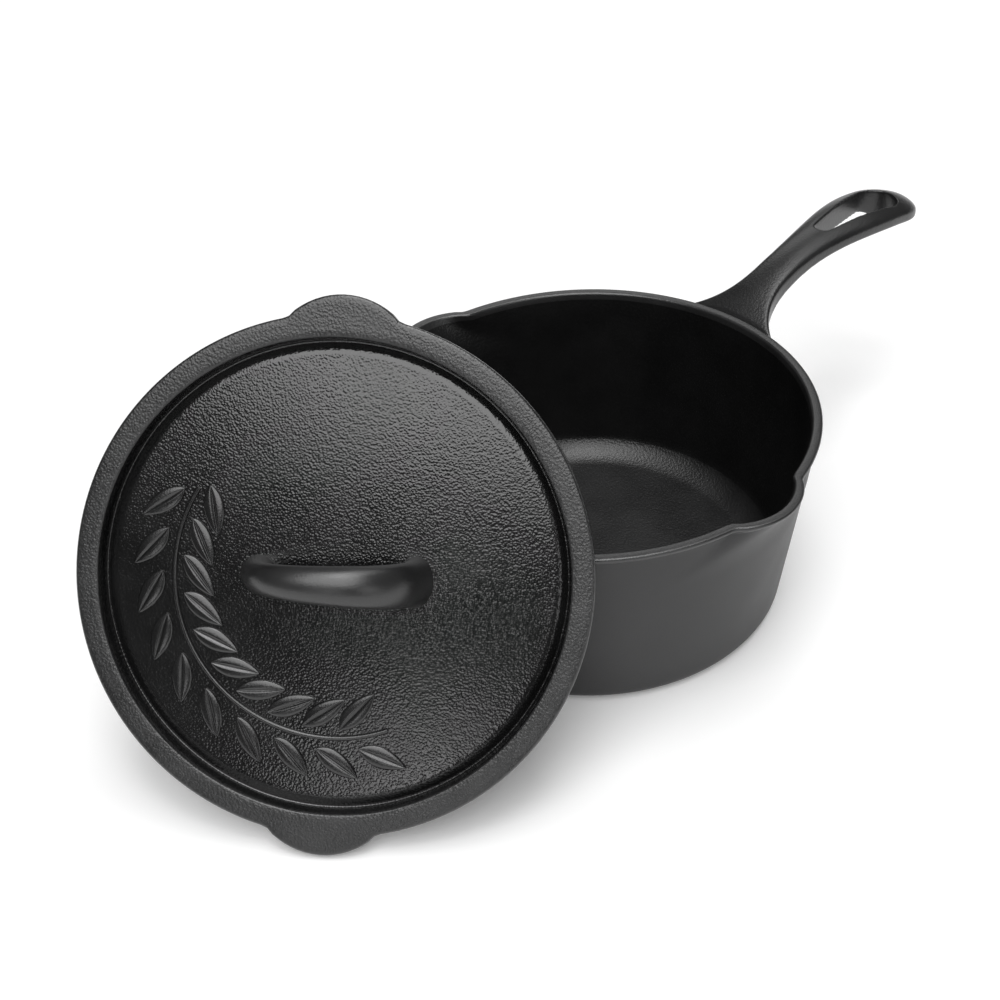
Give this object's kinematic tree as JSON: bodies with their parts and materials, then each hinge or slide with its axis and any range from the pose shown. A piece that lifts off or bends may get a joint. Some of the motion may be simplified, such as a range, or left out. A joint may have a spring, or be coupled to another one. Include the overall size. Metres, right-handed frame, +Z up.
{
  "type": "cast iron saucepan with lid",
  "caption": "Cast iron saucepan with a cast-in long handle, pouring lips on both sides and a flanged lid with a loop handle; the lid leans on the pan.",
  "frame": {"origin": "middle of the pan's flat base, on the surface that it stands on", "axes": "+Z up along the pan's axis, +X along the long handle, pouring lips towards +Y and -Y; the lid leans on the pan from the -X side"},
  "size_m": [0.4708, 0.2196, 0.1822],
  "materials": {
    "matte_iron": "seasoned, fine sand-cast skin",
    "pebbled_iron": "seasoned, pebbly sand-cast skin"
  },
  "bodies": {
    "pan": {"saucepan": "matte_iron"},
    "lid": {"lid": "pebbled_iron"}
  },
  "joints": [
    {"name": "lid_lift", "type": "slide", "parent": "pan", "child": "lid", "axis": [0, 0, 1], "range_m": [0, 0.2]}
  ]
}
